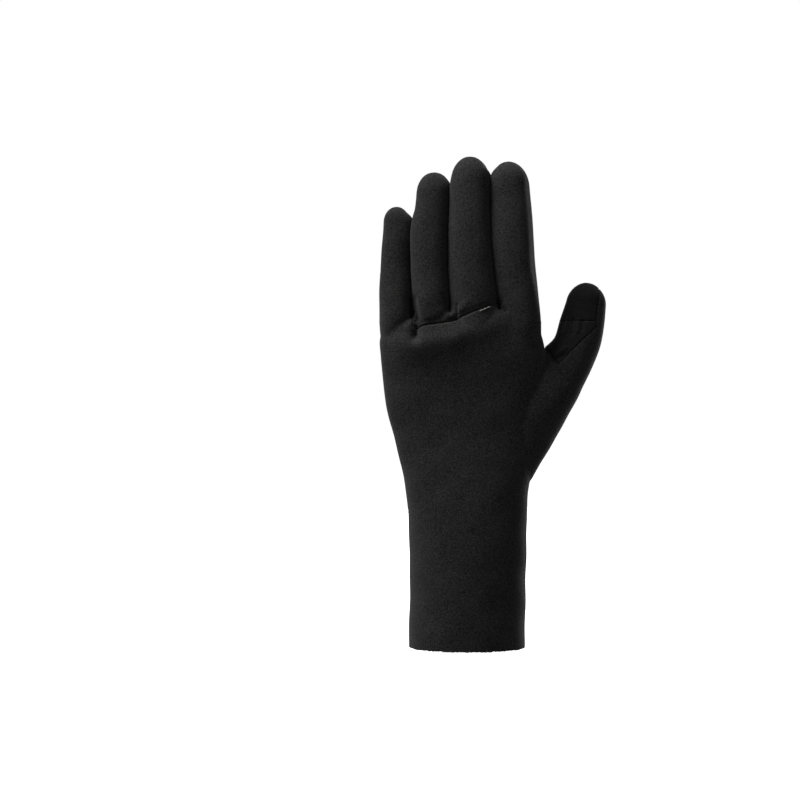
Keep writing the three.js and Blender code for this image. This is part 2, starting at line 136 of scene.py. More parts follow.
def digit(middles, halves, depths, end, tip, square):
    """Rings along a digit's curved path, closed by a round tip of that length."""
    run = lengths_along(middles)
    at = np.linspace(0, run[-1], int(run[-1] / skin_step))
    rows = flow(run, np.column_stack([middles, halves, depths]), at)
    forward = np.array(end) - rows[-1, :3]
    forward /= np.linalg.norm(forward)
    turn = np.linspace(0, math.pi / 2, tip_rings)[1:-1, None]
    cap = np.hstack([rows[-1, :3] + forward * tip * np.sin(turn), rows[-1, 3:] * np.cos(turn)])
    rows = np.vstack([rows, cap])
    middle, half, depth = rows[:, :3], rows[:, 3], rows[:, 4]
    tangent = np.gradient(middle, axis=0)
    through = np.cross(tangent, (1, 0, 0))
    through /= np.linalg.norm(through, axis=1)[:, None]
    across = np.cross(through, tangent)
    across /= np.linalg.norm(across, axis=1)[:, None]
    return rings(middle, across, through, half, depth, depth, np.full(len(half), square))


def trunk():
    rows = [[row["up"] * wrist_height, *(row[k] * cuff_width for k in ("left", "right")),
             *(row[k] * cuff_depth for k in ("back", "palm")), row["square"]] for row in cuff_rows]
    tall = fork_height - wrist_height
    rows += [[wrist_height + row["up"] * tall, *(row[k] * palm_width for k in ("left", "right")),
              *(row[k] * palm_depth for k in ("back", "palm")), row["square"]] for row in hand_rows]
    rows = np.array(rows)
    at = np.linspace(rows[0, 0], rows[-1, 0], int((rows[-1, 0] - rows[0, 0]) / skin_step))
    left, right, back, palm, square = flow(rows[:, 0], rows[:, 1:], at).T
    middle = np.column_stack([(right - left) / 2, np.zeros(len(at)), at])
    aside, ahead = np.tile((1.0, 0, 0), (len(at), 1)), np.tile((0, 1.0, 0), (len(at), 1))
    return rings(middle, aside, ahead, (left + right) / 2, back, palm, square)


def finger(row, centre):
    tip = row["width"] * finger_tip
    alongs = [1 - tip / row["length"] if r["along"] is None else r["along"] for r in finger_rows]

    def place(along):
        outside = max(along, 0)
        shift = row["splay"] * max(1 - 2 * outside, 0) ** 2 + row["lean"] * max(2 * outside - 1, 0) ** 2
        curl = finger_curl * row["length"] / middle_length * outside ** 2
        return (centre + shift * row["width"], row["sunk"] * row["width"] + curl,
                fork_height + along * row["length"])

    halves = [row["width"] * (r["wide"] + r["base"] * row["flare"]) / 2 for r in finger_rows]
    depths = [row["width"] * (r["deep"] + r["base"] * row["deep"]) / 2 for r in finger_rows]
    return digit([place(a) for a in alongs], halves, depths, place(1), tip, finger_square)


def thumb():
    reach = palm_width / 2 + thumb_spread

    def place(out, up, lean):
        return (reach * out, thumb_lean * lean, wrist_height + thumb_length * up)

    middles = [place(row["out"], row["up"], row["lean"]) for row in thumb_rows]
    halves = [thumb_width * row["wide"] / 2 for row in thumb_rows]
    depths = [thumb_width * row["deep"] / 2 for row in thumb_rows]
    return digit(middles, halves, depths, place(1, 1, 1), thumb_width * thumb_tip, thumb_square)


def fanned(height):
    """How much of a finger's turn out is reached at a height."""
    return np.clip((height - fan_foot) / fan_run, 0, 1)


def remeshed(solids):
    """One even skin round closed rings that run into each other."""
    points, faces = [], []
    for solid in solids:
        rows, sides = solid.shape[:2]
        first = sum(len(p) for p in points)
        points.append(solid.reshape(-1, 3))
        for row in range(rows - 1):
            for side in range(sides):
                a, b = first + row * sides + side, first + row * sides + (side + 1) % sides
                faces.append((a, b, b + sides, a + sides))
        faces.append([first + side for side in reversed(range(sides))])
        faces.append([first + (rows - 1) * sides + side for side in range(sides)])
    mesh = bpy.data.meshes.new("skin")
    mesh.from_pydata(np.vstack(points).tolist(), [], faces)
    whole = bpy.data.objects.new("skin", mesh)
    bpy.context.scene.collection.objects.link(whole)
    remesh = whole.modifiers.new("Even", "REMESH")
    remesh.mode = "VOXEL"
    remesh.voxel_size = skin_cell
    made = bpy.data.meshes.new_from_object(whole.evaluated_get(bpy.context.evaluated_depsgraph_get()))
    found = np.empty(len(made.vertices) * 3)
    made.vertices.foreach_get("co", found)
    quads = np.array([list(p.vertices) for p in made.polygons if len(p.vertices) == 4])
    bpy.data.objects.remove(whole)
    return found.reshape(-1, 3), quads


def edges_of(faces):
    sides = faces.shape[1]
    pairs = np.vstack([faces[:, [k, (k + 1) % sides]] for k in range(sides)])
    return np.unique(np.sort(pairs, axis=1), axis=0)


def averaged(values, edges):
    """Each point's mean over its neighbours."""
    count = np.bincount(edges.ravel(), minlength=len(values))
    total = np.empty_like(values)
    for column in range(values.shape[1]):
        total[:, column] = np.bincount(edges[:, 0], values[edges[:, 1], column], len(values))
        total[:, column] += np.bincount(edges[:, 1], values[edges[:, 0], column], len(values))
    return total / np.maximum(count, 1)[:, None]


def relaxed(points, edges, rounds):
    """Smooths without shrinking: a step in, then a slightly longer step out."""
    for _ in range(rounds):
        for step in (step_in, step_out):
            points = points + step * (averaged(points, edges) - points)
    return points


def normals_of(points, triangles):
    a, b, c = (points[triangles[:, k]] for k in range(3))
    face = np.cross(b - a, c - a)
    total = np.zeros_like(points)
    for k in range(3):
        for column in range(3):
            total[:, column] += np.bincount(triangles[:, k], face[:, column], len(points))
    return total / np.maximum(np.linalg.norm(total, axis=1), 1e-12)[:, None]


finger_touch, notch_drop, notch_fade, web_drop = 0.15 * MM, 6.4 * MM, 3 * MM, 12 * MM
pinky_reach = 0.545


def closed_up(digits):
    """Fingers side by side swell until they touch or press lightly, up to the notch between their tips."""
    spans = [(s[:, :, 2].mean(1), s[:, :, 0].min(1), s[:, :, 0].max(1)) for s in digits]
    for place in range(len(digits) - 1):
        (z_left, _, right), (z_right, left, _) = spans[place], spans[place + 1]
        notch = min(z_left[-1], z_right[-1]) - notch_drop
        give = fingers[place]["give"]
        for solid, (z, low, high), sign, part in ((digits[place], spans[place], 1, give),
                                                  (digits[place + 1], spans[place + 1], -1, 1 - give)):
            gap = np.interp(z, z_right, left) - np.interp(z, z_left, right) - finger_touch
            gap += fingers[place]["press"] * fanned(z)
            gap *= np.clip((notch + notch_fade - z) / (2 * notch_fade), 0, 1)
            gap = np.where(z > fork_height - web_drop, gap, 0)
            middle, half = (low + high) / 2, (high - low) / 2
            share = np.clip(sign * (solid[..., 0] - middle[:, None]) / half[:, None], 0, 1)
            solid[..., 0] += sign * part * gap[:, None] * share ** 2
    return digits


digits = []
next_edge = -pinky_reach * palm_width
for row in fingers:
    digits.append(finger(row, next_edge + row["width"] / 2))
    next_edge += row["width"] + finger_gap
digits = closed_up(digits)
for row, solid in zip(fingers, digits):
    solid[..., 0] += row["fan"] * fanned(solid[..., 2])
skin, quads = remeshed([trunk(), *digits, thumb()])
skin = relaxed(skin, edges_of(quads), first_rounds)

# Fingers turned back side by side. Each leans a little on the next, so no light falls between them
right_edges = [(s[:, :, 2].mean(1), s[:, :, 0].max(1)) for s in digits]
left_edges = [(s[:, :, 2].mean(1), s[:, :, 0].min(1)) for s in digits]
middle_line = (digits[2][:, :, 2].mean(1), digits[2][:, :, 1].mean(1))
lean, lean_reach, index_side = 0.32, 6 * MM, 2.5 * MM
height = skin[:, 2].copy()
turned = np.full(len(skin), fingers[0]["fan"])
is_finger = np.zeros(len(skin))
for place, row in enumerate(fingers):
    border = np.interp(height, *right_edges[place])
    if place < len(fingers) - 1:
        border = (border + np.interp(height, *left_edges[place + 1])) / 2
        change = fingers[place + 1]["fan"] - row["fan"]
    else:
        border = border + index_side
        change = -row["fan"]
        is_finger = np.clip((border - skin[:, 0]) / MM, 0, 1)
    turned += change * np.clip((skin[:, 0] - border) / MM + 0.5, 0, 1)
skin[:, 0] -= turned * fanned(height)
off_line = skin[:, 1] - np.interp(height, *middle_line)
skin[:, 0] += is_finger * fanned(height) * lean * off_line * np.exp(-(off_line / lean_reach) ** 2)
triangles = np.vstack([quads[:, [0, 1, 2]], quads[:, [0, 2, 3]]])

# Finer mesh where the seams are small and tight: over the knuckles, at the webs and up the thumb
knuckle_drop, knuckle_rise = 8.4 * MM, 14 * MM
knuckle_left, knuckle_right = -31.4 * MM, 17.8 * MM
knuckle_rows = [
    dict(across=0, rise=0),
    dict(across=0.45, rise=0.24),
    dict(across=0.71, rise=0.62),
    dict(across=1, rise=1),
]
fine_zones = [
    dict(x=(-36, 24), y=(-30, -3), z=(176, 208)),
    dict(x=(-40, 30), y=(0, 25), z=(180, 202)),
    dict(x=(40, 80), y=(-15, 12), z=(156, 196)),
]
finest_reach, last_rounds = 4 * MM, 3


def above_knuckle_seam(points):
    """Height of each point above the seam across the knuckles."""
    places = [knuckle_left + row["across"] * (knuckle_right - knuckle_left) for row in knuckle_rows]
    levels = [fork_height - knuckle_drop + row["rise"] * knuckle_rise for row in knuckle_rows]
    return points[:, 2] - np.interp(points[:, 0], places, levels)


def in_zone(points, zone):
    low, high = (np.array([zone[axis][end] for axis in "xyz"]) * MM for end in (0, 1))
    return ((points > low) & (points < high)).all(1)


def refined(points, faces, near):
    """Halves each edge that has both its ends near a detail."""
    mesh = bpy.data.meshes.new("finer_skin")
    mesh.from_pydata(points.tolist(), [], faces.tolist())
    work = bmesh.new()
    work.from_mesh(mesh)
    edges = [edge for edge in work.edges if all(near[vert.index] for vert in edge.verts)]
    bmesh.ops.subdivide_edges(work, edges=edges, cuts=1, use_grid_fill=True)
    bmesh.ops.triangulate(work, faces=work.faces[:])
    work.to_mesh(mesh)
    work.free()
    found = np.empty(len(mesh.vertices) * 3)
    mesh.vertices.foreach_get("co", found)
    corners = np.empty(len(mesh.loops), np.int32)
    mesh.loops.foreach_get("vertex_index", corners)
    bpy.data.meshes.remove(mesh)
    return found.reshape(-1, 3), corners.reshape(-1, 3).astype(int)


near = np.logical_or.reduce([in_zone(skin, zone) for zone in fine_zones])
skin, triangles = refined(skin, triangles, near)
near = in_zone(skin, fine_zones[0]) & (np.abs(above_knuckle_seam(skin)) < finest_reach)
skin, triangles = refined(skin, triangles, near)
skin = relaxed(skin, edges_of(triangles), last_rounds)


# The seams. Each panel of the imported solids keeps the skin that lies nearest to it, measured from half
# way into the foam, and the skin's points next to a seam are drawn onto it, so that neighbours meet
# edge to edge.
half_wall, border_rounds = 1.2 * MM, 5
panel_names = ["back_panel", "middle_ring_panel", "palm_panel", "thumb_gusset", "cuff_panel"]
cuff_panel = panel_names.index("cuff_panel")
cuff_panel_width, foot_rise, tongue_drop, tongue_square = 49 * MM, 9 * MM, 14 * MM, 2.2
tongue_left, tongue_right = -0.535 * cuff_panel_width, 0.53 * cuff_panel_width
hem_rows = [dict(front=0, rise=0), dict(front=0.38, rise=0.35), dict(front=0.62, rise=1)]
hem_zone, knife_slip = 20 * MM, 0.1 * MM


def hem_height(points, nearest):
    """Height of the cut edge at each point: level behind, a tongue in front, and never quite even."""
    front = points[:, 1] / (cuff_depth / 2)
    back = foot_rise * np.interp(front, *([row[k] for row in hem_rows] for k in ("front", "rise")))
    middle, half = (tongue_left + tongue_right) / 2, (tongue_right - tongue_left) / 2
    share = np.clip(np.abs(points[:, 0] - middle) / half, 0, 1)
    tongue = foot_rise - tongue_drop * (1 - share ** tongue_square)
    level = np.where(nearest == cuff_panel, tongue, back)
    turn = np.arctan2(points[:, 1], points[:, 0])
    slips = np.random.default_rng(11)
    for waves_round in (9, 17, 28, 41, 66, 90):
        level += knife_slip * slips.uniform(0.5, 1.2) * np.sin(waves_round * turn + slips.uniform(0, 6))
    return level


depsgraph = bpy.context.evaluated_depsgraph_get()
solids = [BVHTree.FromObject(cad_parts[name], depsgraph) for name in panel_names]
inside = skin - half_wall * normals_of(skin, triangles)
away = np.array([[solid.find_nearest(Vector(point))[3] for solid in solids] for point in inside])
skin_edges = edges_of(triangles)
for _ in range(border_rounds):
    away = (away + averaged(away, skin_edges)) / 2
over_hem = skin[:, 2] - hem_height(skin, away.argmin(1))
away = np.column_stack([away, away.min(1) + np.where(skin[:, 2] < hem_zone, over_hem, 1.0)])


def drawn_to_seams(skin, away, edges):
    """Moves the nearer end of each edge that crosses a seam onto the seam."""
    nearest = away.argmin(1)
    first, second = edges[nearest[edges[:, 0]] != nearest[edges[:, 1]]].T
    mine, theirs = nearest[first], nearest[second]
    near = away[first, theirs] - away[first, mine]
    far = away[second, theirs] - away[second, mine]
    share = near / (near - far)
    mover = np.where(share < 0.5, first, second)
    count = np.bincount(mover, minlength=len(skin))
    moved = count > 0
    drawn = []
    for source in (skin, away):
        crossing = source[first] + share[:, None] * (source[second] - source[first])
        total = np.column_stack([np.bincount(mover, column, len(skin)) for column in crossing.T])
        drawn.append(np.where(moved[:, None], total / np.maximum(count, 1)[:, None], source))
    return drawn


skin, away = drawn_to_seams(skin, away, skin_edges)
belongs = away[triangles].sum(1).argmin(1)


def seam_edges(one=None, other=None):
    """Edges of the skin between two panels, or between any two."""
    sides = np.sort(np.vstack([triangles[:, [0, 1]], triangles[:, [1, 2]], triangles[:, [2, 0]]]), axis=1)
    owner = np.tile(belongs, 3)
    order = np.lexsort(sides.T)
    sides, owner = sides[order], owner[order]
    pair = (sides[:-1] == sides[1:]).all(1) & (owner[:-1] != owner[1:])
    pair &= (owner[:-1] < len(panel_names)) & (owner[1:] < len(panel_names))
    if one is not None:
        low, high = sorted((one, other))
        pair &= (np.minimum(owner[:-1], owner[1:]) == low) & (np.maximum(owner[:-1], owner[1:]) == high)
    return sides[:-1][pair]


def distance_to(points, marks, reach):
    """How far each point lies from the nearest mark, up to a reach."""
    tree = KDTree(len(marks))
    for place, mark in enumerate(marks):
        tree.insert(Vector(mark), place)
    tree.balance()
    return np.array([min(tree.find(Vector(point))[2], reach) for point in points])


groove_width, groove_depth, groove_reach = 1.2 * MM, 0.4 * MM, 12 * MM
from_seam = distance_to(skin, skin[np.unique(seam_edges())], groove_reach)
normals = normals_of(skin, triangles)
lift = -groove_depth * np.clip(1 - from_seam / groove_width, 0, 1) ** 2

# Knuckles: the back panel rolls up below the seam, and the fingers' cloth dips into it from above
roll_lift, roll_middle, roll_top, roll_foot = 3.3 * MM, 11 * MM, 7 * MM, 9 * MM
slit_depth, slit_width, dip_depth, dip_middle, dip_width = 1.3 * MM, 0.8 * MM, 0.8 * MM, 1.4 * MM, 1.6 * MM
slit_share = dict(across=[-33, -27, -6, 4, 17, 22], share=[0, 1, 1, 0.6, 0.4, 0])
roll_share = dict(across=[-46, -38, -25, -6, 4, 17, 25], share=[0, 0.5, 1, 1, 0.6, 0.4, 0])
facing_gain = 1.6
above = above_knuckle_seam(skin)
across = skin[:, 0]
on_back = np.clip(-facing_gain * normals[:, 1], 0, 1)
strength = on_back * np.interp(across / MM, slit_share["across"], slit_share["share"])
broad = on_back * np.interp(across / MM, roll_share["across"], roll_share["share"])
below = -above - roll_middle
roll = roll_lift * np.exp(-(below / np.where(below < 0, roll_top, roll_foot)) ** 2)
slit = -slit_depth * np.exp(-(above / slit_width) ** 2)
dip = -dip_depth * np.exp(-((above - dip_middle) / dip_width) ** 2)
lift += broad * np.where(above < 0, roll, roll * np.exp(-(above / slit_width) ** 2)) + strength * slit
lift += strength * np.where(above > 0, dip, dip * np.exp(-(above / slit_width) ** 2))

# Folds and puckers of the foam, in mm on the glove: over the back (side -1) or over the palm (side 1)
folds = [
    dict(side=-1, path=[(-10.2, 190.3), (-6.4, 190.3)], width=1.1, lift=-1.5),
    dict(side=-1, path=[(-6.1, 198), (-6.4, 191)], width=0.8, lift=-1.1),
    dict(side=-1, path=[(-8.2, 196), (-8.2, 192.8)], width=1.3, lift=1.0),
    dict(side=-1, path=[(-10.6, 204), (-10.2, 194)], width=0.9, lift=-0.9),
    dict(side=-1, path=[(-15, 194.5), (-12.5, 192.5)], width=2.4, lift=0.8),
    dict(side=-1, path=[(-3.5, 195.5), (-1, 199)], width=2.2, lift=0.6),
    dict(side=-1, path=[(-32, 201), (-31, 194), (-29.8, 187), (-30.2, 179)], width=2.5, lift=-3.3),
    dict(side=-1, path=[(-30.6, 190), (-29.8, 186), (-30, 181)], width=1.2, lift=-1.8),
    dict(side=-1, path=[(-40, 178), (-34, 175)], width=4, lift=0.6),
    dict(side=-1, path=[(17, 201), (21.5, 195)], width=1.4, lift=-1.3),
    dict(side=-1, path=[(45.8, 172.3), (52.2, 162.4), (56.8, 153.7)], width=1.2, lift=-1.0),
    dict(side=-1, path=[(50.5, 166.5), (56, 169.5)], width=1.1, lift=-0.9),
    dict(side=-1, path=[(51.5, 169.8), (57.5, 173.5)], width=1.0, lift=0.8),
    dict(side=-1, path=[(55.6, 189), (54.6, 184)], width=0.9, lift=-0.7),
    dict(side=-1, path=[(58.6, 190.4), (57.4, 183)], width=0.9, lift=0.9),
    dict(side=-1, path=[(61.6, 190), (60.8, 182)], width=1.0, lift=-0.9),
    dict(side=-1, path=[(65, 190), (64.2, 183)], width=0.9, lift=0.7),
    dict(side=-1, path=[(67.6, 189), (66.8, 184)], width=0.8, lift=-0.6),
    dict(side=1, path=[(8.8, 207.7), (15.1, 194), (29.8, 186.7)], width=3.2, lift=1.6),
    dict(side=1, path=[(-5.3, 185), (-5.3, 157)], width=1.0, lift=-0.25),
    dict(side=1, path=[(33, 158), (27.5, 149), (29, 137)], width=5, lift=1.5),
    dict(side=1, path=[(37.5, 152), (35, 143)], width=4, lift=-1.6),
]
for fold in folds:
    path = np.array(fold["path"]) * MM
    flat = skin[:, [0, 2]]
    nearest = np.full(len(skin), 1.0)
    for start, end in zip(path[:-1], path[1:]):
        along = np.clip((flat - start) @ (end - start) / ((end - start) @ (end - start)), 0, 1)
        nearest = np.minimum(nearest, np.linalg.norm(flat - start - along[:, None] * (end - start), axis=1))
    facing = np.clip(normals[:, 1] * fold["side"], 0, 1)
    lift += facing * fold["lift"] * MM * np.exp(-(nearest / (fold["width"] * MM)) ** 2)

# Slow waves of a filled glove, with their shortest and longest in mm
wave_count, wave_short, wave_long, wave_height = 14, 14, 42, 0.06 * MM
waves = np.random.default_rng(7)
for _ in range(wave_count):
    wave = waves.normal(size=3)
    wave *= 2 * math.pi / (waves.uniform(wave_short, wave_long) * MM) / np.linalg.norm(wave)
    lift += wave_height * np.sin(skin @ wave + waves.uniform(0, 2 * math.pi))
skin = skin + normals * lift[:, None]
normals = normals_of(skin, triangles)
soft_normals, lining_rounds = normals, 12
for _ in range(lining_rounds):
    soft_normals = (soft_normals + averaged(soft_normals, skin_edges)) / 2
soft_normals /= np.linalg.norm(soft_normals, axis=1)[:, None]


# The panels' foam sheet: nylon jersey outside, foam between, jersey lining inside. Each panel is cut
# flat, glued edge to edge to its neighbours and blind stitched, so its cut edge shows only at the hem
wall, seam_parting, lining_share, sharp_edge = 2.2 * MM, 0.12 * MM, 0.16, math.radians(55)
band_run = 0.314


def shaded(name, roughness):
    """A new material of that roughness, with its nodes, its links and its main shader."""
    material = bpy.data.materials.new(name)
    material.use_nodes = True
    shade = material.node_tree.nodes["Principled BSDF"]
    shade.inputs["Roughness"].default_value = roughness
    return material, material.node_tree.nodes, material.node_tree.links, shade


def jersey(name, dark, light, yarn, rib, relief, sheen):
    """A fine nylon knit laid on foam: heathered yarn, low ribs, and a soft sheen at a grazing angle.

    The sizes are in mm. A wave texture of scale 1 repeats every band_run, which sets the ribs' scale.
    """
    material, nodes, links, shade = shaded(name, 0.88)
    shade.inputs["Specular IOR Level"].default_value = 0.14
    shade.inputs["Sheen Weight"].default_value = sheen
    shade.inputs["Sheen Roughness"].default_value = 0.5
    place = nodes.new("ShaderNodeTexCoord")
    heather = nodes.new("ShaderNodeTexNoise")
    heather.inputs["Scale"].default_value = 1 / (yarn * MM)
    heather.inputs["Detail"].default_value = 4
    heather.inputs["Roughness"].default_value = 0.7
    patch = nodes.new("ShaderNodeTexNoise")
    patch.inputs["Scale"].default_value = 1 / (18 * MM)
    patch.inputs["Detail"].default_value = 2
    mix = nodes.new("ShaderNodeMath")
    mix.operation = "MULTIPLY_ADD"
    mix.inputs[1].default_value = 0.12
    tone = nodes.new("ShaderNodeValToRGB")
    tone.color_ramp.elements[0].position = 0.435
    tone.color_ramp.elements[0].color = (*dark, 1)
    tone.color_ramp.elements[1].position = 0.69
    tone.color_ramp.elements[1].color = (*light, 1)
    links.new(place.outputs["Object"], heather.inputs["Vector"])
    links.new(place.outputs["Object"], patch.inputs["Vector"])
    links.new(patch.outputs["Fac"], mix.inputs[0])
    links.new(heather.outputs["Fac"], mix.inputs[2])
    links.new(mix.outputs[0], tone.inputs["Fac"])
    links.new(tone.outputs["Color"], shade.inputs["Base Color"])
    courses = nodes.new("ShaderNodeTexWave")
    courses.bands_direction = "Z"
    courses.inputs["Scale"].default_value = band_run / (rib * MM)
    courses.inputs["Distortion"].default_value = 2.5
    courses.inputs["Detail"].default_value = 2
    courses.inputs["Detail Scale"].default_value = 1.5
    links.new(place.outputs["Object"], courses.inputs["Vector"])
    loops = nodes.new("ShaderNodeTexNoise")
    loops.inputs["Scale"].default_value = 1 / (0.8 * rib * MM)
    loops.inputs["Detail"].default_value = 3
    links.new(place.outputs["Object"], loops.inputs["Vector"])
    height = nodes.new("ShaderNodeMath")
    height.operation = "MULTIPLY_ADD"
    height.inputs[1].default_value = 0.4
    links.new(courses.outputs["Fac"], height.inputs[0])
    links.new(loops.outputs["Fac"], height.inputs[2])
    bump = nodes.new("ShaderNodeBump")
    bump.inputs["Strength"].default_value = 0.8
    bump.inputs["Distance"].default_value = relief * MM
    links.new(height.outputs[0], bump.inputs["Height"])
    links.new(bump.outputs["Normal"], shade.inputs["Normal"])
    return material


def foam_edge():
    """The raw cut edge of closed-cell foam: fine pits between the two faces of jersey."""
    material, nodes, links, shade = shaded("foam_edge", 0.7)
    place = nodes.new("ShaderNodeTexCoord")
    cells = nodes.new("ShaderNodeTexVoronoi")
    cells.inputs["Scale"].default_value = 1 / (0.35 * MM)
    tone = nodes.new("ShaderNodeValToRGB")
    tone.color_ramp.elements[0].color = (0.008, 0.008, 0.009, 1)
    tone.color_ramp.elements[1].color = (0.03, 0.03, 0.032, 1)
    links.new(place.outputs["Object"], cells.inputs["Vector"])
    links.new(cells.outputs["Distance"], tone.inputs["Fac"])
    links.new(tone.outputs["Color"], shade.inputs["Base Color"])
    bump = nodes.new("ShaderNodeBump")
    bump.inputs["Strength"].default_value = 0.6
    bump.inputs["Distance"].default_value = 0.15 * MM
    links.new(cells.outputs["Distance"], bump.inputs["Height"])
    links.new(bump.outputs["Normal"], shade.inputs["Normal"])
    return material


def thinned(piece, lining):
    """Coarser triangles in the lining, which is only seen through the cuff's mouth."""
    group = piece.vertex_groups.new(name="lining")
    group.add(lining.tolist(), 1.0, "REPLACE")
    coarser = piece.modifiers.new("Coarser lining", "DECIMATE")
    coarser.ratio = (1 + lining_share) / 2
    coarser.vertex_group = group.name
    depsgraph = bpy.context.evaluated_depsgraph_get()
    made = bpy.data.meshes.new_from_object(piece.evaluated_get(depsgraph))
    piece.modifiers.clear()
    piece.vertex_groups.clear()
    piece.data = made
    made.set_sharp_from_angle(angle=sharp_edge)


def panel(name, materials):
    """One panel of foam sheet: its outer face from the skin, its lining inside, and a cut edge between."""
    own = triangles[belongs == panel_names.index(name)]
    used, local = np.unique(own, return_inverse=True)
    local = local.reshape(-1, 3)
    outer = skin[used].copy()
    sides = np.vstack([local[:, [0, 1]], local[:, [1, 2]], local[:, [2, 0]]])
    codes = sides[:, 0] * len(used) + sides[:, 1]
    border = sides[~np.isin(codes, sides[:, 1] * len(used) + sides[:, 0])]
    rim = np.unique(border)
    inward = averaged(outer, edges_of(local))[rim] - outer[rim]
    outer[rim] += seam_parting * inward / np.maximum(np.linalg.norm(inward, axis=1), 1e-9)[:, None]
    inner = skin[used] - wall * soft_normals[used]
    count = len(used)
    a, b = border.T
    edge = np.vstack([np.column_stack([b, a, a + count]), np.column_stack([b, a + count, b + count])])
    faces = np.vstack([local, local[:, ::-1] + count, edge])
    mesh = bpy.data.meshes.new(name + "_cloth")
    mesh.from_pydata(np.vstack([outer, inner]).tolist(), [], faces.tolist())
    for material in materials:
        mesh.materials.append(material)
    mesh.polygons.foreach_set("material_index", [0] * len(local) + [1] * len(local) + [2] * len(edge))
    mesh.polygons.foreach_set("use_smooth", [True] * len(faces))
    piece = bpy.data.objects.new(name + "_cloth", mesh)
    bpy.context.scene.collection.objects.link(piece)
    thinned(piece, np.setdiff1d(np.arange(count), rim) + count)
    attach(piece, "root")
    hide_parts(name)


lining = jersey("lining_jersey", dark=(0.005, 0.005, 0.005), light=(0.012, 0.012, 0.012),
                yarn=0.8, rib=0.7, relief=0.12, sheen=0.1)
back_cloth = jersey("back_jersey", dark=(0.007, 0.007, 0.007), light=(0.053, 0.0525, 0.052),
                    yarn=0.75, rib=0.6, relief=0.25, sheen=0.12)
palm_cloth = jersey("palm_jersey", dark=(0.0055, 0.0055, 0.0055), light=(0.0155, 0.0155, 0.0155),
                    yarn=0.7, rib=0.8, relief=0.12, sheen=0.1)
gusset_cloth = jersey("gusset_jersey", dark=(0.008, 0.008, 0.008), light=(0.024, 0.024, 0.024),
                      yarn=0.7, rib=0.8, relief=0.15, sheen=0.1)
cut_foam = foam_edge()
panel("back_panel", [back_cloth, lining, cut_foam])
panel("middle_ring_panel", [back_cloth, lining, cut_foam])
panel("palm_panel", [palm_cloth, lining, cut_foam])
panel("thumb_gusset", [gusset_cloth, lining, cut_foam])
panel("cuff_panel", [palm_cloth, lining, cut_foam])


# Sewing thread, pale grey: stitched along the wrist seam and one cuff seam and over the knuckles, with
# small tacks at the cuff's foot, the wrist's corner and the thumb. Each stitch is a short rounded run
# whose two ends dive into the foam.
thread_thick, thread_sides, thread_steps, twist_run = 0.52 * MM, 6, 6, 0.5 * MM
thread_rise, thread_sink, thread_end = 0.12 * MM, 0.1, 0.35
length_spread, slant_spread, gap_spread, shortest_last = (0.85, 1.15), (0.6, 1.2), (0.5, 1.5), 0.6
tack_slant, tack_spread, seam_smooth = 0.35, (0.8, 1.15), 4
skin_tree = KDTree(len(skin))
for place, point in enumerate(skin):
    skin_tree.insert(Vector(point), place)
skin_tree.balance()


def pale_thread():
    """Twisted thread: two tones along the twist, a little gloss."""
    material, nodes, links, shade = shaded("seam_thread", 0.55)
    place = nodes.new("ShaderNodeTexCoord")
    twist = nodes.new("ShaderNodeTexWave")
    twist.bands_direction = "DIAGONAL"
    twist.inputs["Scale"].default_value = band_run / twist_run
    tone = nodes.new("ShaderNodeValToRGB")
    tone.color_ramp.elements[0].color = (0.26, 0.26, 0.25, 1)
    tone.color_ramp.elements[1].color = (0.56, 0.56, 0.55, 1)
    links.new(place.outputs["Object"], twist.inputs["Vector"])
    links.new(twist.outputs["Fac"], tone.inputs["Fac"])
    links.new(tone.outputs["Color"], shade.inputs["Base Color"])
    bump = nodes.new("ShaderNodeBump")
    bump.inputs["Distance"].default_value = 0.08 * MM
    links.new(twist.outputs["Fac"], bump.inputs["Height"])
    links.new(bump.outputs["Normal"], shade.inputs["Normal"])
    return material


thread = pale_thread()
skin_rays = BVHTree.FromPolygons(skin.tolist(), triangles.tolist())


def on_skin(x, z, side):
    """The skin's point at a place in mm, on the back (-1) or on the palm (1)."""
    start = Vector((x * MM, side * cuff_depth, z * MM))
    return skin_rays.ray_cast(start, Vector((0, -side, 0)))[0]


def along_seam(one, other, keep, axis):
    """Points in order along the seam between two panels, with its little steps smoothed out."""
    found = np.unique(seam_edges(panel_names.index(one), panel_names.index(other)))
    found = found[keep(skin[found])]
    found = found[np.argsort(skin[found, axis])]
    path = skin[found]
    for _ in range(seam_smooth):
        path[1:-1] = (path[:-2] + 2 * path[1:-1] + path[2:]) / 4
    run = lengths_along(path)
    even = np.linspace(0, run[-1], max(int(run[-1] / MM), 2))
    return np.column_stack([np.interp(even, run, column) for column in path.T])


def stitch(start, end, thick):
    """One run of thread: rings of points from end to end, rising in the middle, with closed ends."""
    start, end = Vector(start), Vector(end)
    out = Vector(normals[skin_tree.find((start + end) / 2)[1]])
    forward = (end - start).normalized()
    aside = forward.cross(out).normalized()
    up = aside.cross(forward)
    rows = []
    for step in range(thread_steps + 1):
        turn = math.pi * step / thread_steps
        rise = thread_rise * math.sin(turn) - thread_sink * thick
        middle = start.lerp(end, (1 - math.cos(turn)) / 2) + up * rise
        half = thick / 2 * (thread_end + (1 - thread_end) * math.sin(turn))
        rows.append([middle + aside * half * math.cos(a) + up * half * math.sin(a)
                     for a in np.linspace(0, 2 * math.pi, thread_sides, endpoint=False)])
    return rows


